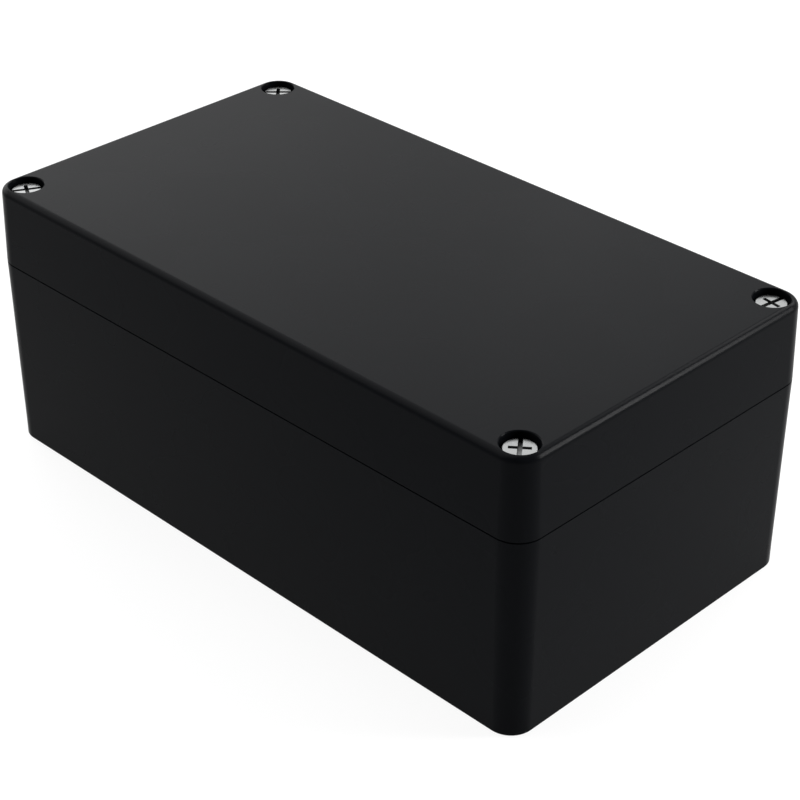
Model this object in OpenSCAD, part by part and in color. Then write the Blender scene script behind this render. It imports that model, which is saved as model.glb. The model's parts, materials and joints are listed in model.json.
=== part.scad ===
// Sealed plastic project box: a deep base and a deep lid with a tongue-and-groove seal,
// four captive lid screws in brass inserts, and fixing holes outside the sealed space.
// Millimetres, +Z up, origin under the middle of the base. +X is the length.

/* [Outer size] */
// Length over the parting line
body_l = 220; // [200:1:320]
// Width over the parting line
body_w = 120; // [110:1:200]
// Height of the closed box
body_h = 89; // [75:0.5:130]
// Height of the lid, rim to top face
lid_h = 25; // [22:0.5:35]
// Shadow gap between the two rims when the lid is closed
parting_gap = 0.4; // [0.3:0.05:0.6]

/* [Mouldings] */
// Radius of the upright corners at the rim
corner_r = 8.1; // [6.5:0.1:9]
// Wall thickness at the rim
wall = 3.6; // [3.4:0.1:4.4]
// Thickness of the base's floor
floor_t = 3.2; // [2.5:0.1:5]
// Thickness of the lid's top
lid_top_t = 3.2; // [2.5:0.1:4]
// Draft of the base's outside, in degrees
base_draft = 0.55; // [0.3:0.05:1]
// Draft of the lid's outside, in degrees
lid_draft = 1.5; // [0.5:0.1:1.8]
// Draft of both insides, in degrees
core_draft = 0.5; // [0.3:0.1:0.6]
// Rounding of the lid's top edge
lid_edge_r = 2.2; // [1.2:0.1:2.6]
// Rounding of the base's bottom edge
base_edge_r = 0.5; // [0.3:0.1:1.2]
// Fillet between the inside walls and the floor or lid top
inner_edge_r = 1.2; // [0.5:0.1:1.4]

/* [Seal] */
// Width of the lid's groove
groove_w = 1.7; // [1.5:0.1:1.9]
// Depth of the lid's groove
groove_d = 3.9; // [3.4:0.1:4.5]
// Width of the base's tongue at its root
tongue_w = 1.1; // [0.8:0.1:1.1]
// Height of the base's tongue
tongue_h = 1.8; // [1.4:0.1:2]
// Draft of the tongue's sides, in degrees
tongue_draft = 1; // [0.5:0.1:2]
// Bend radius of the seal's centre line round a corner block
seal_bend_r = 4; // [3.8:0.1:5]
// Side clearance of the gasket in its groove
gasket_side_clear = 0.05; // [0.02:0.01:0.15]
// Clearance between the tongue and the gasket
gasket_clear = 0.3; // [0.2:0.05:0.4]

/* [Corner holes] */
// Distance of each lid screw from the two outer faces
screw_inset = 8.1; // [7.8:0.1:9]
// Diameter of the recess that the screw head sits in
recess_d = 10.9; // [10.5:0.1:11.2]
// Chamfer round the mouth of the recess
recess_chamfer = 0.3; // [0.2:0.1:0.5]
// Clearance hole for the screw in the lid
lid_bore_d = 5.4; // [5.3:0.1:6]
// Distance from a lid screw to its fixing hole, along the length
fixing_offset = 12.9; // [12.5:0.1:16]
// Diameter of the fixing hole through the floor
fixing_d = 4.5; // [4:0.1:5]
// Diameter of the channel down to the fixing hole
channel_d = 9.2; // [8.5:0.1:9.6]
// Thickness of plastic under a fixing screw's head
fixing_seat_t = 6; // [4:0.5:10]
// Wall between a corner hole and the seal groove
seal_web = 1.25; // [1:0.05:1.8]
// Skin left above the hollow under each column
column_skin = 3; // [2:0.5:5]

/* [Lid screws] */
// Thread diameter
thread_d = 5; // [4.5:0.1:5]
// Diameter of the reduced shank
shank_d = 4.2; // [3.8:0.1:4.3]
// Diameter of the head
head_d = 9.4; // [8.5:0.1:9.5]
// Height of the head
head_h = 2.8; // [2.4:0.1:3.6]
// Taper of the head's side, in degrees
head_draft = 2; // [0:0.5:4]
// Rounding of the head's top edge
head_edge_r = 0.35; // [0.2:0.05:0.6]
// Depth of the head's top below the lid's top face
head_sink = 1.6; // [0.5:0.1:2]
// Width of the slot
slot_w = 1.3; // [1:0.1:1.6]
// Depth of the slot
slot_depth = 1.5; // [1:0.1:2]
// Span of the cross recess
cross_l = 6; // [4.5:0.1:7]
// Width of each arm of the cross recess
cross_w = 1.2; // [0.8:0.1:1.4]
// Depth of the cross recess
cross_depth = 1.5; // [1:0.1:2]
// Depth of thread engaged in the insert
engagement = 8; // [6:0.5:9]
// Thread that stands above the insert
thread_extra = 4; // [3:0.5:5]
// Slot directions: front left, front right, rear left, rear right
slot_angles = [61, -51, 45, 82];

/* [Inserts and retaining rings] */
// Diameter of the brass inserts
insert_d = 7.2; // [6.8:0.1:7.6]
// Length of the inserts
insert_l = 10; // [9.5:0.5:14]
// Depth of an insert's top below the rim
insert_sink = 1; // [0.5:0.1:2]
// Length of each gripping band on an insert
insert_band = 3.8; // [3:0.1:4.5]
// Depth of the waist between the bands
insert_waist = 0.4; // [0.2:0.1:0.6]
// Depth of the blind hole past the insert
relief_depth = 5; // [2:0.5:8]
// Diameter of the blind hole past the insert
relief_d = 5.2; // [5:0.1:6]
// Diameter of the retaining rings
ring_d = 8.2; // [7.4:0.1:8.4]
// Thickness of the retaining rings
ring_t = 1.5; // [1:0.1:2]
// Clearance round a ring in its counterbore
ring_clear = 0.3; // [0.3:0.05:0.5]
// Radial running clearance on the screw
run_clear = 0.05; // [0.02:0.01:0.1]

/* [Inside fittings] */
// Diameter of the circuit board bosses
boss_d = 7; // [6:0.5:9]
// Height of the base's bosses above the floor
boss_h = 6; // [4:0.5:12]
// Height of the lid's bosses
lid_boss_h = 5; // [3:0.5:8]
// Pilot hole for self-tapping screws
pilot_d = 2.5; // [2:0.1:3.2]
// Distance of the bosses from the end faces
boss_inset_x = 40; // [36:1:60]
// Distance of the bosses from the long faces
boss_inset_y = 22; // [20:1:30]
// Pitch of the card guides
guide_pitch = 30; // [20:1:40]
// Slot between the two ribs of a card guide
guide_slot = 1.9; // [1.6:0.1:2.6]
// Thickness of a guide rib
rib_t = 1.4; // [1:0.1:2]
// Reach of a guide rib past the wall
rib_reach = 2.5; // [1.5:0.1:4]
// Distance from the guide ribs' tops to the rim
guide_drop = 8; // [5:0.5:15]

/* [Hidden] */

$fn = 96;
shell_black = "#17181a";
seal_grey = "#3a3c3e";
steel = "#b9bcc0";
brass = "#c8a04a";
nylon = "#e6e2d6";

// overrun of every cut past the face it opens
cut = 1;
// depth by which added features root in what carries them
root = 1;

half_l = body_l / 2;
half_w = body_w / 2;
base_h = body_h - lid_h - parting_gap;

// corner columns, which stand outside the sealed space
corners = [[-1, -1], [1, -1], [-1, 1], [1, 1]];
screw_x = half_l - screw_inset;
screw_y = half_w - screw_inset;
fixing_x = screw_x - fixing_offset;
counterbore_r = ring_d / 2 + ring_clear;
channel_r = channel_d / 2;

// seal centre line: along the walls, and round the corner block
seal_end = half_l - wall / 2;
seal_side = half_w - wall / 2;
seal_x = fixing_x - channel_r - seal_web - groove_w / 2;
seal_y = screw_y - counterbore_r - seal_web - groove_w / 2;
well_r = seal_bend_r - wall / 2;
gasket_w = groove_w - 2 * gasket_side_clear;
gasket_h = groove_d + parting_gap - tongue_h - gasket_clear;

// lid screw, from its seat in the lid down to its tip in the insert
seat_depth = head_sink + head_h;
seat_z = body_h - seat_depth;
insert_top = base_h - insert_sink;
screw_tip = insert_top - engagement;
thread_top = insert_top + thread_extra;
ring_z = thread_top + run_clear;
screw_travel = engagement + parting_gap;
counterbore_top = ring_z + ring_t + screw_travel + ring_clear;

guide_margin = channel_r + wall;
guides_long = floor((seal_x - guide_margin) / guide_pitch);
guides_short = floor((seal_y - guide_margin) / guide_pitch);

// ---------- shapes shared by the mouldings ----------

// whole microns, so that shapes which meet share the same points
function micron(size) = round(size * 1000) / 1000;

// quarter of a disc, to the right of its centre and below it
module quarter_disc(r) {
    intersection() {
        circle(r);
        translate([0, -2 * r])
            square(2 * r);
    }
}

// half section of a drafted shape: widest at its rim, with its closed end's edge rounded
module drafted_section(rim_r, height, draft, edge_r) {
    centre = rim_r - edge_r - micron((height - edge_r) * tan(draft));
    polygon([
        [0, 0],
        [centre, 0],
        [centre, edge_r],
        [centre + edge_r, edge_r],
        [rim_r, height],
        [0, height]
    ]);
    translate([centre, edge_r])
        quarter_disc(edge_r);
}

// drafted block with round corners: the section swept round a rectangle and filled in
module rounded_block(half_x, half_y, rim_r, height, draft, edge_r) {
    x = half_x - rim_r;
    y = half_y - rim_r;
    for (quarter = [0:3]) {
        out = quarter % 2 == 0 ? x : y;
        along = quarter % 2 == 0 ? y : x;
        rotate(90 * quarter)
            translate([out, along, 0]) {
                rotate_extrude(angle = 90)
                    drafted_section(rim_r, height, draft, edge_r);
                rotate([90, 0, 0])
                    linear_extrude(2 * along)
                        drafted_section(rim_r, height, draft, edge_r);
            }
    }
    translate([-x, -y, 0])
        cube([2 * x, 2 * y, height]);
}

module each_quarter() {
    for (flip_x = [0, 1], flip_y = [0, 1])
        mirror([flip_x, 0, 0])
            mirror([0, flip_y, 0])
                children();
}

module at_screws() {
    for (corner = corners)
        translate([corner.x * screw_x, corner.y * screw_y, 0])
            children();
}

module at_fixings() {
    for (corner = corners)
        translate([corner.x * fixing_x, corner.y * screw_y, 0])
            children();
}

module at_bosses() {
    for (corner = corners)
        translate([corner.x * (half_l - boss_inset_x), corner.y * (half_w - boss_inset_y), 0])
            children();
}

// straight runs and bends of a sweep whose section has its outer side at +X
module run_x(from, to, y) {
    translate([from, y, 0])
        rotate([90, 0, 90])
            linear_extrude(to - from)
                children();
}

module run_y(from, to, x) {
    translate([x, to, 0])
        rotate([90, 0, 0])
            linear_extrude(to - from)
                children();
}

module outer_bend(x, y) {
    translate([x, y, 0])
        rotate_extrude(angle = 90)
            translate([seal_bend_r, 0])
                children();
}

module inner_bend(x, y) {
    translate([x, y, 0])
        rotate(180)
            rotate_extrude(angle = 90)
                translate([seal_bend_r, 0])
                    mirror([1, 0])
                        children();
}

// sweeps a section along the seal's centre line
module along_seal() {
    r = seal_bend_r;
    each_quarter() {
        run_x(0, seal_x - r, seal_side) children();
        outer_bend(seal_x - r, seal_side - r) children();
        run_y(seal_y + r, seal_side - r, seal_x) children();
        inner_bend(seal_x + r, seal_y + r) children();
        run_x(seal_x + r, seal_end - r, seal_y) children();
        outer_bend(seal_end - r, seal_y - r) children();
        run_y(0, seal_y - r, seal_end) children();
    }
}

// the sealed space as a core: two crossed blocks, blended round each corner block
module well(depth) {
    tall = depth + cut;
    inner = wall / 2;
    rounded_block(half_l - wall, seal_y - inner, well_r, tall, core_draft, inner_edge_r);
    rounded_block(seal_x - inner, half_w - wall, well_r, tall, core_draft, inner_edge_r);
    band = seal_bend_r + inner;
    each_quarter()
        inner_bend(seal_x + seal_bend_r, seal_y + seal_bend_r)
            translate([-inner - band, 0])
                drafted_section(band, tall, core_draft, inner_edge_r);
}

// a moulding lies with its closed face at z = 0 and its rim at the top
module open_moulding(height, draft, edge_r, closed_t) {
    difference() {
        rounded_block(half_l, half_w, corner_r, height, draft, edge_r);
        translate([0, 0, closed_t])
            well(height - closed_t);
    }
}

module bored_boss(height, closed_t) {
    difference() {
        translate([0, 0, closed_t - root])
            cylinder(d1 = boss_d + 2 * (height + root) * tan(core_draft), d2 = boss_d, h = height + root);
        translate([0, 0, closed_t])
            cylinder(d = pilot_d, h = height + cut);
    }
}

// ---------- base ----------

module guide_rib() {
    height = base_h - guide_drop - floor_t + root;
    translate([0, rib_t / 2, floor_t - root])
        rotate([90, 0, 0])
            linear_extrude(rib_t)
                polygon([
                    [0, 0],
                    [root + rib_reach, 0],
                    [root + rib_reach, height - rib_reach],
                    [root, height],
                    [0, height]
                ]);
}

// two ribs on a wall, facing -Y, that hold the edge of an upright board
module card_guide() {
    for (side = [-1, 1])
        translate([side * (guide_slot + rib_t) / 2, root, 0])
            rotate(-90)
                guide_rib();
}

module card_guides() {
    each_half()
        for (i = [-guides_long:guides_long])
            translate([i * guide_pitch, half_w - wall, 0])
                card_guide();
    each_half()
        rotate(-90)
            for (i = [-guides_short:guides_short])
                translate([i * guide_pitch, half_l - wall, 0])
                    card_guide();
}

module each_half() {
    for (turn = [0, 180])
        rotate(turn)
            children();
}

module tongue() {
    foot = tongue_w / 2;
    crest = foot - tongue_h * tan(tongue_draft);
    translate([0, 0, base_h])
        along_seal()
            polygon([
                [-foot, -root],
                [foot, -root],
                [crest, tongue_h],
                [-crest, tongue_h]
            ]);
}

// stepped hole for an insert, with a blind end past it
module insert_hole() {
    bottom = insert_top - insert_l;
    translate([0, 0, bottom])
        cylinder(d = insert_d, h = base_h - bottom + cut);
    translate([0, 0, bottom - relief_depth])
        cylinder(d = relief_d, h = relief_depth + cut);
}

// hollow that the mould leaves under a column, narrowing upwards
module column_hollow() {
    top = insert_top - insert_l - relief_depth - column_skin;
    wide = insert_d + 2 * top * tan(core_draft);
    translate([0, 0, -cut])
        cylinder(d1 = wide, d2 = insert_d, h = top + cut);
}

module fixing_hole() {
    translate([0, 0, -cut])
        cylinder(d = fixing_d, h = fixing_seat_t + 2 * cut);
    translate([0, 0, fixing_seat_t])
        cylinder(d = channel_d, h = base_h - fixing_seat_t + cut);
}

module base() {
    color(shell_black)
        difference() {
            union() {
                open_moulding(base_h, base_draft, base_edge_r, floor_t);
                card_guides();
                at_bosses()
                    bored_boss(boss_h, floor_t);
                tongue();
            }
            at_screws() {
                insert_hole();
                column_hollow();
            }
            at_fixings()
                fixing_hole();
        }
}

// ---------- lid ----------

// puts what is modelled from the lid's top face downwards in its place on the box
module as_lid() {
    translate([0, 0, body_h])
        mirror([0, 0, 1])
            children();
}

module screw_recess() {
    translate([0, 0, -cut])
        cylinder(d = recess_d, h = seat_depth + cut);
    translate([0, 0, -cut])
        cylinder(d1 = recess_d + 2 * (recess_chamfer + cut), d2 = recess_d, h = recess_chamfer + cut);
}

module screw_bore() {
    cylinder(d = lid_bore_d, h = lid_h + cut);
    translate([0, 0, body_h - counterbore_top])
        cylinder(r = counterbore_r, h = lid_h + cut);
}

// continues the fixing channel into the lid, so that no thick plastic is left above it
module channel_hollow() {
    translate([0, 0, lid_top_t])
        cylinder(d = channel_d, h = lid_h);
}

module groove() {
    translate([0, 0, lid_h - groove_d])
        along_seal()
            translate([-groove_w / 2, 0])
                square([groove_w, groove_d + cut]);
}

module lid() {
    color(shell_black)
        as_lid()
            difference() {
                union() {
                    open_moulding(lid_h, lid_draft, lid_edge_r, lid_top_t);
                    at_bosses()
                        bored_boss(lid_boss_h, lid_top_t);
                }
                groove();
                at_screws() {
                    screw_recess();
                    screw_bore();
                }
                at_fixings()
                    channel_hollow();
            }
}

// square-backed cord with a round lip towards the tongue
module gasket() {
    lip = gasket_w / 2;
    color(seal_grey)
        as_lid()
            translate([0, 0, lid_h - groove_d])
                along_seal() {
                    translate([-lip, 0])
                        square([gasket_w, gasket_h - lip]);
                    for (side = [0, 1])
                        translate([0, gasket_h - lip])
                            mirror([side, 0])
                                mirror([0, 1])
                                    quarter_disc(lip);
                }
}

// ---------- fasteners ----------

module screw(corner, slot_angle) {
    color(steel)
        translate([corner.x * screw_x, corner.y * screw_y, 0])
            difference() {
                union() {
                    translate([0, 0, seat_z + head_h])
                        mirror([0, 0, 1])
                            rotate_extrude()
                                drafted_section(head_d / 2, head_h, head_draft, head_edge_r);
                    translate([0, 0, screw_tip])
                        cylinder(d = shank_d, h = seat_z - screw_tip + root);
                    screw_thread();
                }
                translate([0, 0, seat_z + head_h])
                    rotate(slot_angle)
                        drive_recess();
            }
}

// the thread's outer envelope, with a lead at its tip
module screw_thread() {
    lead = (thread_d - shank_d) / 2;
    translate([0, 0, screw_tip])
        cylinder(d1 = shank_d, d2 = thread_d, h = lead);
    translate([0, 0, screw_tip + lead])
        cylinder(d = thread_d, h = thread_top - screw_tip - lead);
}

// full-width slot crossed by a shorter recess in its middle
module drive_recess() {
    translate([-head_d, -slot_w / 2, -slot_depth])
        cube([2 * head_d, slot_w, slot_depth + cut]);
    for (turn = [0, 90])
        rotate(turn)
            translate([-cross_l / 2, -cross_w / 2, -cross_depth])
                cube([cross_l, cross_w, cross_depth + cut]);
}

// ring pushed over the thread, which keeps the screw in the lid
module ring(corner) {
    color(nylon)
        translate([corner.x * screw_x, corner.y * screw_y, ring_z])
            difference() {
                cylinder(d = ring_d, h = ring_t);
                translate([0, 0, -cut])
                    cylinder(r = shank_d / 2 + run_clear, h = ring_t + 2 * cut);
            }
}

// turned bush with two gripping bands and a waist between them
module insert(corner) {
    bore_r = thread_d / 2 + run_clear;
    outer_r = insert_d / 2;
    waist_r = outer_r - insert_waist;
    color(brass)
        translate([corner.x * screw_x, corner.y * screw_y, insert_top - insert_l])
            rotate_extrude()
                polygon([
                    [bore_r, 0],
                    [outer_r, 0],
                    [outer_r, insert_band],
                    [waist_r, insert_band],
                    [waist_r, insert_l - insert_band],
                    [outer_r, insert_l - insert_band],
                    [outer_r, insert_l],
                    [bore_r, insert_l]
                ]);
}

base();
lid();
gasket();
screw(corners[0], slot_angles[0]);  // screw_front_left
screw(corners[1], slot_angles[1]);  // screw_front_right
screw(corners[2], slot_angles[2]);  // screw_rear_left
screw(corners[3], slot_angles[3]);  // screw_rear_right
ring(corners[0]);  // ring_front_left
ring(corners[1]);  // ring_front_right
ring(corners[2]);  // ring_rear_left
ring(corners[3]);  // ring_rear_right
insert(corners[0]);  // insert_front_left
insert(corners[1]);  // insert_front_right
insert(corners[2]);  // insert_rear_left
insert(corners[3]);  // insert_rear_right
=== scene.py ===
"""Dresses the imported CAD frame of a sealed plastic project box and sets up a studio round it."""

import json
import math

import bmesh
import bpy
from bpy.props import (
    FloatProperty,
    FloatVectorProperty,
    IntProperty,
    PointerProperty,
)
from bpy.types import Operator, Panel, PropertyGroup
from mathutils import Matrix, Vector


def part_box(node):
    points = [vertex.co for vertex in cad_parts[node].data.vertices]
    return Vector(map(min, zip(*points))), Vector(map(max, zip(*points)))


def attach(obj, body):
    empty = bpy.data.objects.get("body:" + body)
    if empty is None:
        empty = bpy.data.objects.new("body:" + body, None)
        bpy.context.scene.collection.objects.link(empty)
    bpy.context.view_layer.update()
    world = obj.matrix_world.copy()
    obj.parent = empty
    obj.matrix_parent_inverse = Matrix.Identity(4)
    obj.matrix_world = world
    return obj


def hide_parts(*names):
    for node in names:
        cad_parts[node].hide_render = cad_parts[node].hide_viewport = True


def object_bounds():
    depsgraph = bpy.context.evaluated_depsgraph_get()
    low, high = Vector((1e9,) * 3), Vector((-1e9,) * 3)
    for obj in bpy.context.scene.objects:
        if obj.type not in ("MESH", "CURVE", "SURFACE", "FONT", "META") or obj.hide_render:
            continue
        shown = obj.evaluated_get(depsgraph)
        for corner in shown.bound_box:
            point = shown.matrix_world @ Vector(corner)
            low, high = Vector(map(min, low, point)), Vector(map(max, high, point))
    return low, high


bl_info = {
    "name": "Sealed Project Box",
    "version": (1, 0, 0),
    "blender": (4, 5, 0),
    "location": "3D View > Sidebar > Project Box",
    "description": "Finishes the mouldings, seal, screws, rings and inserts of a project box",
    "category": "Object",
}

MM = 0.001
CORNERS = ("front_left", "front_right", "rear_left", "rear_right")

# lengths are in metres
WELD = 1e-7  # points nearer than this are one point
FLAT = math.radians(0.05)  # faces that differ by less lie in one plane
SLIP = 0.05 * MM  # clearance of rings and inner threads round a screw
FINE_EDGE = 0.05 * MM  # edge break of screws and rings
LATHE_STEPS = 72  # facets round a turned piece
HELIX_STEPS = 40  # points in one turn of a thread
SQUARE = 4  # corners of the section that makes a thread's or a knurl's ridge

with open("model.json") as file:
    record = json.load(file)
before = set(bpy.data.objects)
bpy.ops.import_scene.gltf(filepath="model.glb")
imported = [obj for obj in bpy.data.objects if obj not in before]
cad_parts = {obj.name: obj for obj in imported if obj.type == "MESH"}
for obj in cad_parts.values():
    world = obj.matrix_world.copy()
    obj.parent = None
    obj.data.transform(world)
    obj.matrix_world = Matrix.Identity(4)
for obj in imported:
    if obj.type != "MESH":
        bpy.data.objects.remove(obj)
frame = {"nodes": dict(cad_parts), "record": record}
cad_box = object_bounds()


# ---------- helpers ----------


def linear(hex_colour):
    """sRGB hex to linear red, green and blue."""
    channels = [int(hex_colour[i : i + 2], 16) / 255 for i in (1, 3, 5)]
    return [c / 12.92 if c <= 0.04045 else ((c + 0.055) / 1.055) ** 2.4 for c in channels]


def add_node(tree, kind, inputs=None, **settings):
    """A node with its settings, and its inputs set to values or linked to sockets."""
    node = tree.nodes.new(kind)
    for name, value in settings.items():
        setattr(node, name, value)
    for name, value in (inputs or {}).items():
        if isinstance(value, bpy.types.NodeSocket):
            tree.links.new(value, node.inputs[name])
        else:
            node.inputs[name].default_value = value
    node.location = (len(tree.nodes) * 190, 0)
    return node


def new_material(name, colour_value, **constants):
    """A material whose Principled shader has these constants on its own sockets."""
    material = bpy.data.materials.new(name)
    material.use_nodes = True
    material.diffuse_color = (*colour_value, 1)
    shader = material.node_tree.nodes["Principled BSDF"]
    shader.inputs["Base Color"].default_value = (*colour_value, 1)
    for socket, value in constants.items():
        shader.inputs[socket.replace("_", " ")].default_value = value
    return material, material.node_tree, shader


def maths(tree, operation, *values, **settings):
    """The result of a Math node on values or sockets."""
    inputs = dict(enumerate(values))
    return add_node(tree, "ShaderNodeMath", inputs, operation=operation, **settings).outputs[0]


def remap(tree, value, given, wanted, curve="LINEAR"):
    """A value carried from a given range to a wanted one, each as (lowest, highest)."""
    inputs = {
        "Value": value,
        "From Min": given[0],
        "From Max": given[1],
        "To Min": wanted[0],
        "To Max": wanted[1],
    }
    return add_node(tree, "ShaderNodeMapRange", inputs, interpolation_type=curve).outputs[0]


def object_from_bmesh(name, shape):
    mesh = bpy.data.meshes.new(name)
    shape.to_mesh(mesh)
    shape.free()
    piece = bpy.data.objects.new(name, mesh)
    bpy.context.scene.collection.objects.link(piece)
    return piece


def turned(outline, steps, closed=False):
    """A lathe shape from (radius, height) points, with its poles closed and its faces outwards."""
    shape = bmesh.new()
    points = [shape.verts.new((r, 0, z)) for r, z in outline]
    edges = [shape.edges.new(pair) for pair in zip(points, points[1:])]
    if closed:
        edges.append(shape.edges.new((points[-1], points[0])))
    bmesh.ops.spin(
        shape,
        geom=points + edges,
        cent=(0, 0, 0),
        axis=(0, 0, 1),
        angle=math.tau,
        steps=steps,
        use_merge=True,
    )
    bmesh.ops.remove_doubles(shape, verts=shape.verts, dist=WELD)
    bmesh.ops.recalc_face_normals(shape, faces=shape.faces)
    return shape


def quarter_round(centre_r, centre_z, radius, start, steps=5):
    """(radius, height) points of a quarter circle, clockwise from a start angle in degrees."""
    angles = [math.radians(start - 90 * i / steps) for i in range(steps + 1)]
    return [(centre_r + radius * math.cos(a), centre_z + radius * math.sin(a)) for a in angles]


def baked(piece):
    """Makes the piece and its modifiers into one plain mesh."""
    bpy.context.view_layer.update()
    graph = bpy.context.evaluated_depsgraph_get()
    mesh = bpy.data.meshes.new_from_object(piece.evaluated_get(graph))
    piece.modifiers.clear()
    piece.data = mesh


def shaded(piece, degrees=32):
    """Smooths round faces, keeps edges sharp past an angle, and keeps flat faces flat."""
    piece.data.shade_smooth()
    piece.data.set_sharp_from_angle(angle=math.radians(degrees))
    weigh = piece.modifiers.new("Flat faces", "WEIGHTED_NORMAL")
    weigh.keep_sharp = True
    baked(piece)


def bevelled(piece, width, degrees):
    """Breaks the edges that turn by more than an angle."""
    bevel = piece.modifiers.new("Edge break", "BEVEL")
    bevel.width = width
    bevel.segments = 2
    bevel.limit_method = "ANGLE"
    bevel.angle_limit = math.radians(degrees)
    bevel.harden_normals = False
    baked(piece)


def join_flats(shape):
    """Joins doubled points and the faces of one plane."""
    bmesh.ops.remove_doubles(shape, verts=shape.verts, dist=WELD)
    bmesh.ops.dissolve_limit(shape, angle_limit=FLAT, verts=shape.verts, edges=shape.edges)


def cut_out(piece, cutters):
    """Takes the cutters' shapes out of the piece, and leaves its flat faces whole."""
    for cutter in cutters:
        cut = piece.modifiers.new("Cut", "BOOLEAN")
        cut.operation = "DIFFERENCE"
        cut.solver = "EXACT"
        cut.object = cutter
    baked(piece)
    for cutter in cutters:
        mesh = cutter.data
        bpy.data.objects.remove(cutter)
        bpy.data.meshes.remove(mesh)
    shape = bmesh.new()
    shape.from_mesh(piece.data)
    join_flats(shape)
    shape.to_mesh(piece.data)
    shape.free()


def bar(name, span, width, height, top, degrees):
    """A bar through the axis, turned about it, with its top at a height."""
    shape = bmesh.new()
    size = Matrix.Diagonal((span, width, height, 1))
    turn = Matrix.Rotation(math.radians(degrees), 4, "Z")
    place = Matrix.Translation((0, 0, top - height / 2))
    bmesh.ops.create_cube(shape, size=1, matrix=turn @ place @ size)
    return object_from_bmesh(name, shape)


def run_tree(piece, tree, values):
    """Runs a Geometry Nodes tree on the piece, with its inputs set by name, and bakes it."""
    modifier = piece.modifiers.new(tree.name, "NODES")
    modifier.node_group = tree
    for item in tree.interface.items_tree:
        if item.item_type == "SOCKET" and item.name in values:
            modifier[item.identifier] = values[item.name]
    baked(piece)


def new_tree(name, inputs):
    """An empty Geometry Nodes tree: (tree, its Group Input node)."""
    tree = bpy.data.node_groups.new(name, "GeometryNodeTree")
    tree.interface.new_socket("Geometry", in_out="INPUT", socket_type="NodeSocketGeometry")
    tree.interface.new_socket("Geometry", in_out="OUTPUT", socket_type="NodeSocketGeometry")
    for label, kind in inputs:
        tree.interface.new_socket(label, in_out="INPUT", socket_type=kind)
    return tree, add_node(tree, "NodeGroupInput")


def close_tree(tree, geometries, material):
    """Joins the geometries, makes instances real and gives all of it the material."""
    joined = add_node(tree, "GeometryNodeJoinGeometry")
    for geometry in geometries:
        tree.links.new(geometry, joined.inputs[0])
    real = add_node(tree, "GeometryNodeRealizeInstances", {"Geometry": joined.outputs[0]})
    dressed = add_node(
        tree,
        "GeometryNodeSetMaterial",
        {"Geometry": real.outputs[0], "Material": material},
    )
    add_node(tree, "NodeGroupOutput", {0: dressed.outputs[0]})
    return tree


def axis_of(node):
    """The upright axis of a round CAD node, at height zero."""
    low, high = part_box(node)
    return Vector(((low.x + high.x) / 2, (low.y + high.y) / 2, 0))


def on_axis(piece, node):
    """Moves a piece made round the origin onto a CAD node's axis.

    The piece keeps its place round the origin as an attribute, for the turning marks.
    """
    place = piece.data.attributes.new("from_axis", "FLOAT_VECTOR", "POINT")
    place.data.foreach_set("vector", [c for v in piece.data.vertices for c in v.co])
    piece.data.transform(Matrix.Translation(axis_of(node)))


def body_of_node(node):
    """The body that a CAD node rides on."""
    bodies = frame["record"]["behaviour"]["bodies"]
    return next(body for body, nodes in bodies.items() if node in nodes)


def seat(piece, node):
    """Puts a finished piece in the place of its CAD node."""
    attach(piece, body_of_node(node))
    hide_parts(node)


# ---------- sizes and colours ----------


def number(name, text, default, low, high, **settings):
    return FloatProperty(
        name=name, description=text, default=default, min=low, max=high, **settings
    )


def length(name, text, default, low, high):
    """A length given in millimetres."""
    return number(
        name, text, default * MM, low * MM, high * MM, unit="LENGTH", precision=5
    )


def power(name, text, default, high):
    """The power of a light."""
    return number(name, text + ", in watts", default, 0, high)


def share(name, text, default):
    return number(name, text, default, 0, 1, subtype="FACTOR")


def colour(name, text, hex_colour):
    return FloatVectorProperty(
        name=name,
        description=text,
        default=linear(hex_colour),
        size=3,
        min=0,
        max=1,
        subtype="COLOR",
    )


class ProjectBoxSizes(PropertyGroup):
    """Sizes of what is finer than the CAD model."""

    edge_break: length("Edge break", "Rounding of the mouldings' sharp edges", 0.12, 0.05, 0.3)
    head_taper: number(
        "Head taper",
        "Taper of the screw head's side",
        math.radians(2),
        0,
        math.radians(4),
        subtype="ANGLE",
    )
    head_height: length("Head height", "Height of the screw head", 2.8, 2.4, 3.6)
    head_round: length("Head rounding", "Rounding of the screw head's top edge", 0.35, 0.1, 0.6)
    neck_round: length("Neck rounding", "Fillet under the screw head", 0.25, 0.1, 0.5)
    core_diameter: length("Core diameter", "Shank and thread root of the screw", 4.2, 3.8, 4.3)
    pitch: length("Pitch", "Rise of the thread in one turn", 0.8, 0.5, 1)
    thread_length: length("Thread length", "Length of the threaded end", 12, 8, 20)
    slot_width: length("Slot width", "Width of the slot", 1.3, 1, 1.6)
    slot_depth: length("Slot depth", "Depth of the slot", 1.5, 1, 2)
    cross_span: length("Cross span", "Span of the recess that crosses the slot", 6, 4.5, 7)
    cross_width: length("Cross width", "Width of the recess that crosses the slot", 1.2, 0.8, 1.4)
    cross_depth: length("Cross depth", "Depth of the recess that crosses the slot", 1.5, 1, 2)
    slot_turns: FloatVectorProperty(
        name="Slot directions",
        description="Slot directions in degrees: front left, front right, rear left, rear right",
        default=(61, -51, 45, 82),
        size=4,
    )
    ring_chamfer: length("Ring chamfer", "Chamfer round the retaining rings", 0.18, 0.05, 0.4)
    knurl_count: IntProperty(
        name="Knurl count",
        description="Ridges round each gripping band of an insert",
        default=40,
        min=12,
        max=72,
    )
    knurl_depth: length("Knurl depth", "Height of a knurl ridge", 0.25, 0.1, 0.4)
    band_length: length("Band length", "Length of each gripping band", 3.8, 3, 4.5)
    waist_depth: length("Waist depth", "Depth of the waist between the bands", 0.4, 0.2, 0.6)
    insert_thread: length("Insert thread", "Depth of the thread in an insert", 0.25, 0.1, 0.35)


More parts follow.
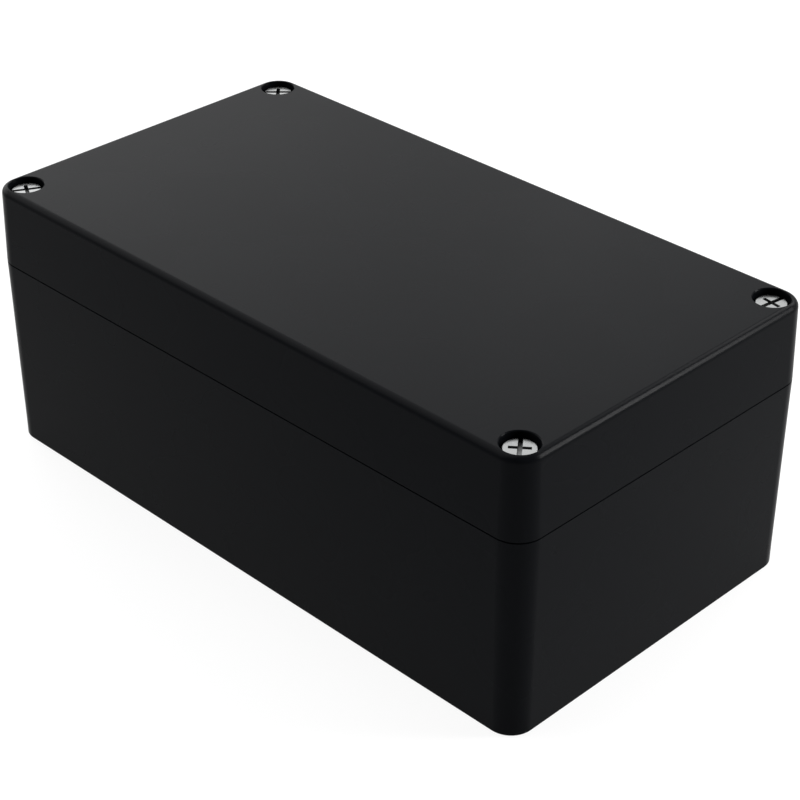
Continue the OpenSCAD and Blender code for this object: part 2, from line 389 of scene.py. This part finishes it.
class ProjectBoxColours(PropertyGroup):
    """Colours of the materials."""

    shell: colour("Shell", "Black of the moulded shells", "#08090b")
    seal: colour("Seal", "Dark grey of the silicone seal", "#34373a")
    steel: colour("Steel", "Stainless steel of the screws", "#6e6f6f")
    nylon: colour("Nylon", "Natural white of the retaining rings", "#e6e2d6")
    brass: colour("Brass", "Brass of the inserts", "#d9b36a")
    floor: colour("Floor", "White of the studio floor", "#fbfbfb")


class ProjectBoxStudio(PropertyGroup):
    """Camera and lights."""

    azimuth: FloatProperty(
        name="Azimuth",
        description="Turn of the camera round the box",
        default=math.radians(45),
        subtype="ANGLE",
    )
    elevation: FloatProperty(
        name="Elevation",
        description="Height of the camera's line of sight above the floor",
        default=math.radians(32),
        subtype="ANGLE",
    )
    distance: length("Distance", "Distance of the camera from the box's middle", 638.77, 300, 2000)
    aside: length("Aside", "Shift of the camera to its right", 5.584, -50, 50)
    lift: length("Lift", "Shift of the camera upwards in its own frame", -9.42, -50, 50)
    lens: number("Lens", "Focal length in millimetres", 94.94, 20, 200)
    key_power: power("Key power", "Power of the large soft light high behind the box", 45, 300)
    back_power: power("Back panel power", "Power of the panel behind the box", 0.9, 100)
    right_power: power(
        "Right strip power", "Power of the tall light strip behind the right end", 29, 100
    )
    floor_glow: share(
        "Floor glow", "Share of the floor's white that doesn't depend on the lights", 0.85
    )
    sky_low: number(
        "Horizon strength",
        "Strength of the surroundings near the horizon, where 1 is white",
        1,
        0,
        2,
    )
    sky_high: number(
        "Overhead strength", "Strength of the surroundings overhead", 0.3, 0, 2
    )
    side_glow: number(
        "Side glow",
        "Strength of the wide soft glow over the left side, where 1 is white",
        3.7,
        0,
        10,
    )
    room_share: share(
        "Room share",
        "Strength of the surroundings on the camera's side, as a share of those behind",
        0.25,
    )


# ---------- materials ----------

# what the saw leaves in a screw's slot: a rougher finish, and painted shade that darkens its
# colour
SAWN_ROUGHNESS = 0.2  # added to that of the turned faces
# painted shade: the slot's colour is this share of the turned faces' colour
SAWN_PAINTED_SHADE = 0.6  # times the colour of the turned faces


def noise(tree, size, detail):
    """Noise in Object coordinates, in patches about as large as the size."""
    place = add_node(tree, "ShaderNodeTexCoord").outputs["Object"]
    inputs = {"Vector": place, "Scale": 1 / size, "Detail": detail}
    return add_node(tree, "ShaderNodeTexNoise", inputs).outputs[0]


def bump(tree, height, strength, depth):
    """Normals that follow a height."""
    inputs = {"Height": height, "Strength": strength, "Distance": depth}
    return add_node(tree, "ShaderNodeBump", inputs).outputs[0]


def finish_shader(tree, shader, roughness, normals=None):
    """Links what varies over the surface to the shader."""
    tree.links.new(roughness, shader.inputs["Roughness"])
    if normals is not None:
        tree.links.new(normals, shader.inputs["Normal"])


def moulded_abs(colour_value):
    """Satin black ABS from a lightly textured mould: an even soft sheen with a very fine grain."""
    material, tree, shader = new_material(
        "Moulded black ABS",
        colour_value,
        Roughness=0.27,
        IOR=1.5,
        Specular_IOR_Level=0.02,
    )
    # cooling of the moulding leaves slow changes of gloss, some 30 mm across
    flow = noise(tree, 30 * MM, 2.0)
    gloss = remap(tree, flow, (0.2, 0.8), (0.26, 0.29), "SMOOTHSTEP")
    # spark grain of the mould, about 0.05 mm in fact and drawn at 0.35 mm so that it shows
    grain = noise(tree, 0.35 * MM, 1.0)
    finish_shader(tree, shader, gloss, bump(tree, grain, 0.12, 0.02 * MM))
    return material


def silicone_rubber(colour_value):
    """Extruded silicone cord: dull, a little waxy, with fine lines left by the die."""
    material, tree, shader = new_material(
        "Extruded silicone rubber",
        colour_value,
        Roughness=0.62,
        IOR=1.43,
        Sheen_Weight=0.1,
        Sheen_Roughness=0.6,
    )
    # dust and handling, some 2 mm across
    dust = noise(tree, 2 * MM, 3.0)
    dull = remap(tree, dust, (0.0, 1.0), (0.55, 0.72))
    # die lines run along the cord, so they lie in layers. The texture turns by 20 times its
    # scale in a metre, which puts them 0.15 mm times a full turn apart, or 0.94 mm
    place = add_node(tree, "ShaderNodeTexCoord").outputs["Object"]
    lines = add_node(
        tree,
        "ShaderNodeTexWave",
        {"Vector": place, "Scale": 1 / (0.15 * MM) / 20, "Distortion": 0.4},
        bands_direction="Z",
    )
    finish_shader(tree, shader, dull, bump(tree, lines.outputs["Fac"], 0.2, 0.01 * MM))
    return material


def turning_marks(tree, spacing):
    """A height that rises and falls in rings round the piece's own axis, and along its sides."""
    place = add_node(tree, "ShaderNodeAttribute", attribute_name="from_axis").outputs["Vector"]
    parts = add_node(tree, "ShaderNodeSeparateXYZ", {0: place}).outputs
    flat = add_node(tree, "ShaderNodeCombineXYZ", {"X": parts["X"], "Y": parts["Y"]})
    radius = add_node(tree, "ShaderNodeVectorMath", {0: flat.outputs[0]}, operation="LENGTH")
    travel = maths(tree, "ADD", radius.outputs["Value"], parts["Z"])
    return maths(tree, "SINE", maths(tree, "MULTIPLY", travel, math.tau / spacing))


def turned_metal(name, colour_value, roughness, spread, marks, depth):
    """Bare turned metal: rings left by the tool spread its highlights across the cut."""
    material, tree, shader = new_material(name, colour_value, Metallic=1.0, Roughness=roughness)
    # tumbling in the barrel leaves cloudy patches, about 1.2 mm across
    patches = noise(tree, 1.2 * MM, 3.0)
    satin = remap(tree, patches, (0.3, 0.7), (roughness - spread, roughness + spread))
    # the saw leaves the slot rougher than the turned faces, and painted shade makes it darker
    sawn = add_node(tree, "ShaderNodeAttribute", attribute_name="sawn").outputs["Fac"]
    rough = maths(tree, "MULTIPLY_ADD", sawn, SAWN_ROUGHNESS, satin)
    # painted shade: a darker copy of the steel's colour for the slot's faces
    dull = [SAWN_PAINTED_SHADE * channel for channel in colour_value]
    painted_slot_shade = add_node(
        tree,
        "ShaderNodeMixRGB",
        {"Fac": sawn, "Color1": (*colour_value, 1), "Color2": (*dull, 1)},
    )
    tree.links.new(painted_slot_shade.outputs["Color"], shader.inputs["Base Color"])
    finish_shader(tree, shader, rough, bump(tree, turning_marks(tree, marks), 0.25, depth))
    return material


def natural_nylon(colour_value):
    """Natural nylon 66 as moulded: milky, with light that soaks in a little and a soft gloss."""
    material, tree, shader = new_material(
        "Moulded natural nylon",
        colour_value,
        Roughness=0.45,
        IOR=1.53,
        Subsurface_Weight=0.15,
        Subsurface_Scale=0.6 * MM,
    )
    # moisture and flow marks, about 1.5 mm across
    flow = noise(tree, 1.5 * MM, 2.0)
    finish_shader(tree, shader, remap(tree, flow, (0.0, 1.0), (0.38, 0.55)))
    return material


def studio_floor(colour_value, whiteness):
    """Matt white paper that is partly lit from below.

    So it stays white, and the box's shadow is faint.
    """
    material, tree, shader = new_material(
        "Matt white paper",
        colour_value,
        Roughness=0.9,
        Specular_IOR_Level=0.1,
    )
    seen = add_node(tree, "ShaderNodeLightPath").outputs
    shown = maths(tree, "ADD", seen["Is Camera Ray"], seen["Is Glossy Ray"])
    shown = maths(tree, "ADD", shown, seen["Is Transmission Ray"], use_clamp=True)
    glow = add_node(tree, "ShaderNodeEmission", {"Strength": 1.0})
    mixed = add_node(
        tree,
        "ShaderNodeMixShader",
        {
            0: maths(tree, "MULTIPLY", shown, whiteness),
            1: shader.outputs[0],
            2: glow.outputs[0],
        },
    )
    tree.links.new(mixed.outputs[0], tree.nodes["Material Output"].inputs["Surface"])
    return material


# ---------- pieces ----------


def moulding(node, edge_break, material):
    """A CAD moulding with points joined, round faces smooth and sharp edges broken."""
    shape = bmesh.new()
    shape.from_mesh(frame["nodes"][node].data)
    join_flats(shape)
    piece = object_from_bmesh("moulded_" + node, shape)
    if edge_break:
        bevelled(piece, edge_break, degrees=35)
    shaded(piece)
    piece.data.materials.append(material)
    return piece


class PROJECTBOX_OT_mouldings(Operator):
    """Finishes the base and the lid as black mouldings"""

    bl_idname = "projectbox.mouldings"
    bl_label = "Finish Mouldings"

    def execute(self, context):
        sizes = context.scene.project_box_sizes
        plastic = moulded_abs(context.scene.project_box_colours.shell)
        for node in ("base", "lid"):
            seat(moulding(node, sizes.edge_break, plastic), node)
        return {"FINISHED"}


class PROJECTBOX_OT_seal(Operator):
    """Finishes the seal that lies in the lid's groove"""

    bl_idname = "projectbox.seal"
    bl_label = "Finish Seal"

    def execute(self, context):
        rubber = silicone_rubber(context.scene.project_box_colours.seal)
        seat(moulding("gasket", 0, rubber), "gasket")
        return {"FINISHED"}


def thread_tree(material):
    """Joins a V thread that follows a helix to a turned body."""
    tree, given = new_tree(
        "Thread",
        [
            ("Root Radius", "NodeSocketFloat"),
            ("Depth", "NodeSocketFloat"),
            ("Pitch", "NodeSocketFloat"),
            ("Length", "NodeSocketFloat"),
            ("Start", "NodeSocketVector"),
            ("Run-out", "NodeSocketFloat"),
        ],
    )
    turns = maths(tree, "DIVIDE", given.outputs["Length"], given.outputs["Pitch"])
    helix = add_node(
        tree,
        "GeometryNodeCurveSpiral",
        {
            "Resolution": HELIX_STEPS,
            "Rotations": turns,
            "Start Radius": given.outputs["Root Radius"],
            "End Radius": given.outputs["Root Radius"],
            "Height": given.outputs["Length"],
            "Reverse": False,
        },
    )
    upright = add_node(
        tree,
        "GeometryNodeSetCurveNormal",
        {"Curve": helix.outputs[0]},
        mode="Z_UP",
    )
    placed = add_node(
        tree,
        "GeometryNodeTransform",
        {"Geometry": upright.outputs[0], "Translation": given.outputs["Start"]},
    )
    along = add_node(tree, "GeometryNodeSplineParameter").outputs["Factor"]
    nearest = maths(tree, "MINIMUM", along, maths(tree, "SUBTRACT", 1.0, along))
    # the ridge fades over this share of the helix at each end
    size = remap(tree, nearest, (0.0, given.outputs["Run-out"]), (0.0, 1.0))
    ridge = add_node(
        tree,
        "GeometryNodeCurvePrimitiveCircle",
        {"Resolution": SQUARE, "Radius": given.outputs["Depth"]},
    )
    swept = add_node(
        tree,
        "GeometryNodeCurveToMesh",
        {
            "Curve": placed.outputs[0],
            "Profile Curve": ridge.outputs[0],
            "Scale": size,
            "Fill Caps": True,
        },
    )
    return close_tree(tree, [given.outputs["Geometry"], swept.outputs[0]], material)


class PROJECTBOX_OT_screws(Operator):
    """Makes the four lid screws, with slot, cross recess and thread"""

    bl_idname = "projectbox.screws"
    bl_label = "Make Screws"

    def execute(self, context):
        sizes = context.scene.project_box_sizes
        steel = turned_metal(
            "Turned stainless steel",
            context.scene.project_box_colours.steel,
            roughness=0.23,
            spread=0.02,
            marks=0.25 * MM,
            depth=0.003 * MM,
        )
        tree = thread_tree(steel)
        for corner, turn in zip(CORNERS, sizes.slot_turns):
            node = "screw_" + corner
            piece = self.turned_blank(sizes, node)
            self.cut_drive(sizes, piece, node, turn)
            bevelled(piece, FINE_EDGE, degrees=40)
            self.mark_drive(sizes, piece, node)
            self.add_thread(sizes, piece, node, tree)
            shaded(piece)
            on_axis(piece, node)
            seat(piece, node)
        return {"FINISHED"}

    def turned_blank(self, sizes, node):
        low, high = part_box(node)
        head_r = (high.x - low.x) / 2
        core_r = sizes.core_diameter / 2
        seat_z = high.z - sizes.head_height
        round_r = sizes.head_round
        top_r = head_r - (sizes.head_height - round_r) * math.tan(sizes.head_taper)
        neck = sizes.neck_round
        # the middle of the fillet lies nearest the corner that it fills
        bend = 0.3 * neck
        tip_chamfer = 0.5 * MM
        outline = [
            (0, high.z),
            *quarter_round(top_r - round_r, high.z - round_r, round_r, 90),
            (head_r, seat_z),
            (core_r + neck, seat_z),
            (core_r + bend, seat_z - bend),
            (core_r, seat_z - neck),
            (core_r, low.z + tip_chamfer),
            (core_r - tip_chamfer, low.z),
            (0, low.z),
        ]
        shape = turned(outline, LATHE_STEPS)
        return object_from_bmesh(node.replace("screw", "lid_screw"), shape)

    def cut_drive(self, sizes, piece, node, turn):
        low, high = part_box(node)
        over = 1 * MM
        top = high.z + over
        wide = 2 * (high.x - low.x)
        slot = bar("slot", wide, sizes.slot_width, sizes.slot_depth + over, top, turn)
        depth = sizes.cross_depth + over
        cross = bar("cross", sizes.cross_span, sizes.cross_width, depth, top, turn + 90)
        cut_out(piece, [slot, cross])

    def mark_drive(self, sizes, piece, node):
        """Marks the faces that the saw left, which lie under the top and inside the head. They get
        a rougher finish and painted shade.
        """
        low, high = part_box(node)
        inside = (high.x - low.x) / 2 - sizes.head_round
        slack = 0.01 * MM
        lowest = high.z - sizes.slot_depth - slack
        highest = high.z - FINE_EDGE - slack
        # the mark carries the sawn roughness and the painted shade of the slot
        sawn = piece.data.attributes.new("sawn", "FLOAT", "FACE")
        for face in piece.data.polygons:
            middle = face.center
            is_sawn_and_shaded = lowest < middle.z < highest and middle.xy.length < inside
            sawn.data[face.index].value = float(is_sawn_and_shaded)

    def add_thread(self, sizes, piece, node, tree):
        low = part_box(node)[0]
        values = {
            "Root Radius": sizes.core_diameter / 2,
            "Depth": sizes.pitch / 2,
            "Pitch": sizes.pitch,
            "Length": sizes.thread_length - sizes.pitch,
            "Start": (0.0, 0.0, low.z + sizes.pitch / 2),
            "Run-out": 0.05,
        }
        run_tree(piece, tree, values)


class PROJECTBOX_OT_rings(Operator):
    """Makes the four rings that keep the screws in the lid"""

    bl_idname = "projectbox.rings"
    bl_label = "Make Retaining Rings"

    def execute(self, context):
        sizes = context.scene.project_box_sizes
        nylon = natural_nylon(context.scene.project_box_colours.nylon)
        chamfer = sizes.ring_chamfer
        for corner in CORNERS:
            node = "ring_" + corner
            low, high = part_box(node)
            outer = (high.x - low.x) / 2
            inner = sizes.core_diameter / 2 + SLIP
            outline = [
                (inner + chamfer, high.z),
                (outer - chamfer, high.z),
                (outer, high.z - chamfer),
                (outer, low.z + chamfer),
                (outer - chamfer, low.z),
                (inner + chamfer, low.z),
                (inner, low.z + chamfer),
                (inner, high.z - chamfer),
            ]
            shape = turned(outline, LATHE_STEPS, closed=True)
            piece = object_from_bmesh(node.replace("ring", "retaining_ring"), shape)
            bevelled(piece, FINE_EDGE, degrees=30)
            shaded(piece)
            piece.data.materials.append(nylon)
            on_axis(piece, node)
            seat(piece, node)
        return {"FINISHED"}


def knurl_tree(material):
    """Stands ridges round two bands of a turned bush."""
    tree, given = new_tree(
        "Knurl",
        [
            ("Count", "NodeSocketInt"),
            ("Radius", "NodeSocketFloat"),
            ("Ridge", "NodeSocketFloat"),
            ("Band Length", "NodeSocketFloat"),
            ("Lower Band", "NodeSocketVector"),
            ("Upper Band", "NodeSocketVector"),
        ],
    )
    circle = add_node(
        tree,
        "GeometryNodeMeshCircle",
        {"Vertices": given.outputs["Count"], "Radius": given.outputs["Radius"]},
        fill_type="NONE",
    )
    prism = add_node(
        tree,
        "GeometryNodeMeshCylinder",
        {
            "Vertices": SQUARE,
            "Radius": given.outputs["Ridge"],
            "Depth": given.outputs["Band Length"],
        },
    )
    step = maths(tree, "DIVIDE", math.tau, given.outputs["Count"])
    index = add_node(tree, "GeometryNodeInputIndex").outputs[0]
    facing = add_node(tree, "ShaderNodeCombineXYZ", {"Z": maths(tree, "MULTIPLY", index, step)})
    ridges = add_node(
        tree,
        "GeometryNodeInstanceOnPoints",
        {
            "Points": circle.outputs[0],
            "Instance": prism.outputs[0],
            "Rotation": facing.outputs[0],
        },
    )
    bands = [
        add_node(
            tree,
            "GeometryNodeTransform",
            {"Geometry": ridges.outputs[0], "Translation": given.outputs[band]},
        ).outputs[0]
        for band in ("Lower Band", "Upper Band")
    ]
    return close_tree(tree, [given.outputs["Geometry"], *bands], material)


class PROJECTBOX_OT_inserts(Operator):
    """Makes the four brass inserts, with knurled bands and a thread inside"""

    bl_idname = "projectbox.inserts"
    bl_label = "Make Inserts"

    def execute(self, context):
        sizes = context.scene.project_box_sizes
        brass = turned_metal(
            "Turned free-cutting brass",
            context.scene.project_box_colours.brass,
            roughness=0.26,
            spread=0.04,
            marks=0.2 * MM,
            depth=0.008 * MM,
        )
        knurl = knurl_tree(brass)
        thread = thread_tree(brass)
        for corner in CORNERS:
            node = "insert_" + corner
            low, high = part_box(node)
            outer = (high.x - low.x) / 2
            band_r = outer - sizes.knurl_depth
            waist_r = outer - sizes.waist_depth
            band = sizes.band_length
            # crests of the inner thread stand clear of the screw
            crest_r = sizes.core_diameter / 2 + sizes.pitch / 2 + SLIP
            root_r = crest_r + sizes.insert_thread
            chamfer = 0.15 * MM
            outline = [
                (root_r, high.z),
                (band_r - chamfer, high.z),
                (band_r, high.z - chamfer),
                (band_r, high.z - band),
                (waist_r, high.z - band - chamfer),
                (waist_r, low.z + band + chamfer),
                (band_r, low.z + band),
                (band_r, low.z + chamfer),
                (band_r - chamfer, low.z),
                (root_r, low.z),
            ]
            shape = turned(outline, LATHE_STEPS, closed=True)
            piece = object_from_bmesh(node.replace("insert", "brass_insert"), shape)
            run_tree(
                piece,
                knurl,
                {
                    "Count": sizes.knurl_count,
                    "Radius": band_r,
                    "Ridge": sizes.knurl_depth,
                    "Band Length": band - 2 * chamfer,
                    "Lower Band": (0.0, 0.0, low.z + band / 2),
                    "Upper Band": (0.0, 0.0, high.z - band / 2),
                },
            )
            run_tree(
                piece,
                thread,
                {
                    "Root Radius": root_r,
                    "Depth": sizes.insert_thread,
                    "Pitch": sizes.pitch,
                    "Length": high.z - low.z - 2 * sizes.pitch,
                    "Start": (0.0, 0.0, low.z + sizes.pitch),
                    "Run-out": 0.04,
                },
            )
            shaded(piece)
            on_axis(piece, node)
            seat(piece, node)
        return {"FINISHED"}


# ---------- stage ----------

# elevations in degrees, between which the surroundings go from white to dim
WHITE_UP_TO = 25
DIM_FROM = 40
# cosines of the angle from straight away from the camera, between which the room turns white
ROOM_SIDE = -0.3
WHITE_SIDE = 0.5
# the middle of the side glow, and the cosines of the angle from it at its rim and its core
GLOW_DIRECTION = (-0.72, 0, 0.69)
GLOW_RIM = 0.54
GLOW_CORE = 0.97

# name, direction from the box, distance, size, axis of the first side, power's setting
LIGHTS = (
    # high behind the box, so that the front face stays in the shade
    ("Key light", (0.0, 0.8, 0.6), 3.0, (1.2, 1.2), (1, 0, 0), "key_power"),
    # behind the box, where the rear right screw head mirrors it
    ("Back panel", (-0.46, 0.74, 0.49), 1.8, (0.5, 0.45), (1, 0, 0), "back_power"),
    # a tall strip behind the right end: it draws the bright line along the lid's right edge
    ("Right strip", (0.66, 0.62, 0.42), 1.5, (0.25, 0.9), (0, 1, 0), "right_power"),
)

FLOOR_RADIUS = 6
FLOOR_GAP = 0.05 * MM  # between the floor and the box's underside
SENSOR_WIDTH = 36  # millimetres, as the lens is


def set_surroundings(studio):
    """White low down behind the box, a wide soft glow over its left side, a dim room elsewhere."""
    world = bpy.data.worlds.new("Studio surroundings")
    bpy.context.scene.world = world
    world.use_nodes = True
    tree = world.node_tree
    direction = add_node(tree, "ShaderNodeTexCoord").outputs["Generated"]

    def cosine(way):
        """The cosine of the angle between the direction and a way of length 1."""
        inputs = {0: direction, 1: way}
        node = add_node(tree, "ShaderNodeVectorMath", inputs, operation="DOT_PRODUCT")
        return node.outputs["Value"]

    by_height = remap(
        tree,
        add_node(tree, "ShaderNodeSeparateXYZ", {0: direction}).outputs["Z"],
        [math.sin(math.radians(elevation)) for elevation in (WHITE_UP_TO, DIM_FROM)],
        (studio.sky_low, studio.sky_high),
        "SMOOTHSTEP",
    )
    by_side = remap(
        tree,
        cosine((-math.sin(studio.azimuth), math.cos(studio.azimuth), 0)),
        (ROOM_SIDE, WHITE_SIDE),
        (studio.room_share, 1.0),
        "SMOOTHSTEP",
    )
    glow = remap(
        tree,
        cosine(Vector(GLOW_DIRECTION).normalized()),
        (GLOW_RIM, GLOW_CORE),
        (0.0, studio.side_glow),
        "SMOOTHSTEP",
    )
    strength = maths(tree, "ADD", maths(tree, "MULTIPLY", by_height, by_side), glow)
    background = tree.nodes["Background"]
    tree.links.new(strength, background.inputs["Strength"])
    background.inputs["Color"].default_value = (1, 1, 1, 1)


def add_soft_light(name, direction, reach, size, along, watts, target):
    """An area light that faces the target from a direction, its first side along an axis."""
    light = bpy.data.lights.new(name, "AREA")
    light.shape = "RECTANGLE"
    light.size, light.size_y = size
    light.energy = watts
    lamp = bpy.data.objects.new(name, light)
    bpy.context.scene.collection.objects.link(lamp)
    towards = Vector(direction).normalized()
    first = (Vector(along) - towards * towards.dot(Vector(along))).normalized()
    turn = Matrix((first, towards.cross(first), towards)).transposed()
    lamp.location = target + towards * reach
    lamp.rotation_mode = "QUATERNION"
    lamp.rotation_quaternion = turn.to_quaternion()


class PROJECTBOX_OT_studio(Operator):
    """Sets the floor, the surroundings, the lights and the camera"""

    bl_idname = "projectbox.studio"
    bl_label = "Set Studio"

    def execute(self, context):
        studio = context.scene.project_box_studio
        context.scene.view_settings.view_transform = "Standard"
        middle = (cad_box[0] + cad_box[1]) / 2
        self.lay_floor(context.scene.project_box_colours.floor, studio.floor_glow)
        set_surroundings(studio)
        for name, direction, reach, size, along, setting in LIGHTS:
            add_soft_light(name, direction, reach, size, along, getattr(studio, setting), middle)
        self.place_camera(context.scene, studio, middle)
        return {"FINISHED"}

    def lay_floor(self, colour_value, whiteness):
        shape = bmesh.new()
        bmesh.ops.create_circle(shape, cap_ends=True, segments=64, radius=FLOOR_RADIUS)
        floor = object_from_bmesh("studio_floor", shape)
        floor.data.transform(Matrix.Translation((0, 0, cad_box[0].z - FLOOR_GAP)))
        floor.data.materials.append(studio_floor(colour_value, whiteness))

    def place_camera(self, scene, studio, middle):
        back = Vector(
            (
                math.sin(studio.azimuth) * math.cos(studio.elevation),
                -math.cos(studio.azimuth) * math.cos(studio.elevation),
                math.sin(studio.elevation),
            )
        )
        right = Vector((math.cos(studio.azimuth), math.sin(studio.azimuth), 0))
        up = back.cross(right)
        camera = bpy.data.objects.new("Camera", bpy.data.cameras.new("Camera"))
        scene.collection.objects.link(camera)
        camera.data.lens = studio.lens
        camera.data.sensor_width = SENSOR_WIDTH
        camera.location = (
            middle + back * studio.distance + right * studio.aside + up * studio.lift
        )
        camera.rotation_mode = "QUATERNION"
        camera.rotation_quaternion = back.to_track_quat("Z", "Y")
        scene.camera = camera


class VIEW3D_PT_project_box(Panel):
    """Lists the steps that make the project box"""

    bl_label = "Project Box"
    bl_space_type = "VIEW_3D"
    bl_region_type = "UI"
    bl_category = "Project Box"

    def draw(self, context):
        layout = self.layout
        for group in ("project_box_sizes", "project_box_colours", "project_box_studio"):
            settings = getattr(context.scene, group)
            for name in settings.__annotations__:
                layout.prop(settings, name)
        for step in STEPS:
            layout.operator(step.bl_idname)


STEPS = (
    PROJECTBOX_OT_mouldings,
    PROJECTBOX_OT_seal,
    PROJECTBOX_OT_screws,
    PROJECTBOX_OT_rings,
    PROJECTBOX_OT_inserts,
    PROJECTBOX_OT_studio,
)
CLASSES = (ProjectBoxSizes, ProjectBoxColours, ProjectBoxStudio, *STEPS, VIEW3D_PT_project_box)


def register():
    for item in CLASSES:
        bpy.utils.register_class(item)
    bpy.types.Scene.project_box_sizes = PointerProperty(type=ProjectBoxSizes)
    bpy.types.Scene.project_box_colours = PointerProperty(type=ProjectBoxColours)
    bpy.types.Scene.project_box_studio = PointerProperty(type=ProjectBoxStudio)


def unregister():
    del bpy.types.Scene.project_box_studio
    del bpy.types.Scene.project_box_colours
    del bpy.types.Scene.project_box_sizes
    for item in reversed(CLASSES):
        bpy.utils.unregister_class(item)


def main():
    register()
    bpy.ops.projectbox.mouldings()
    bpy.ops.projectbox.seal()
    bpy.ops.projectbox.screws()
    bpy.ops.projectbox.rings()
    bpy.ops.projectbox.inserts()
    bpy.ops.projectbox.studio()


if __name__ == "__main__":
    main()
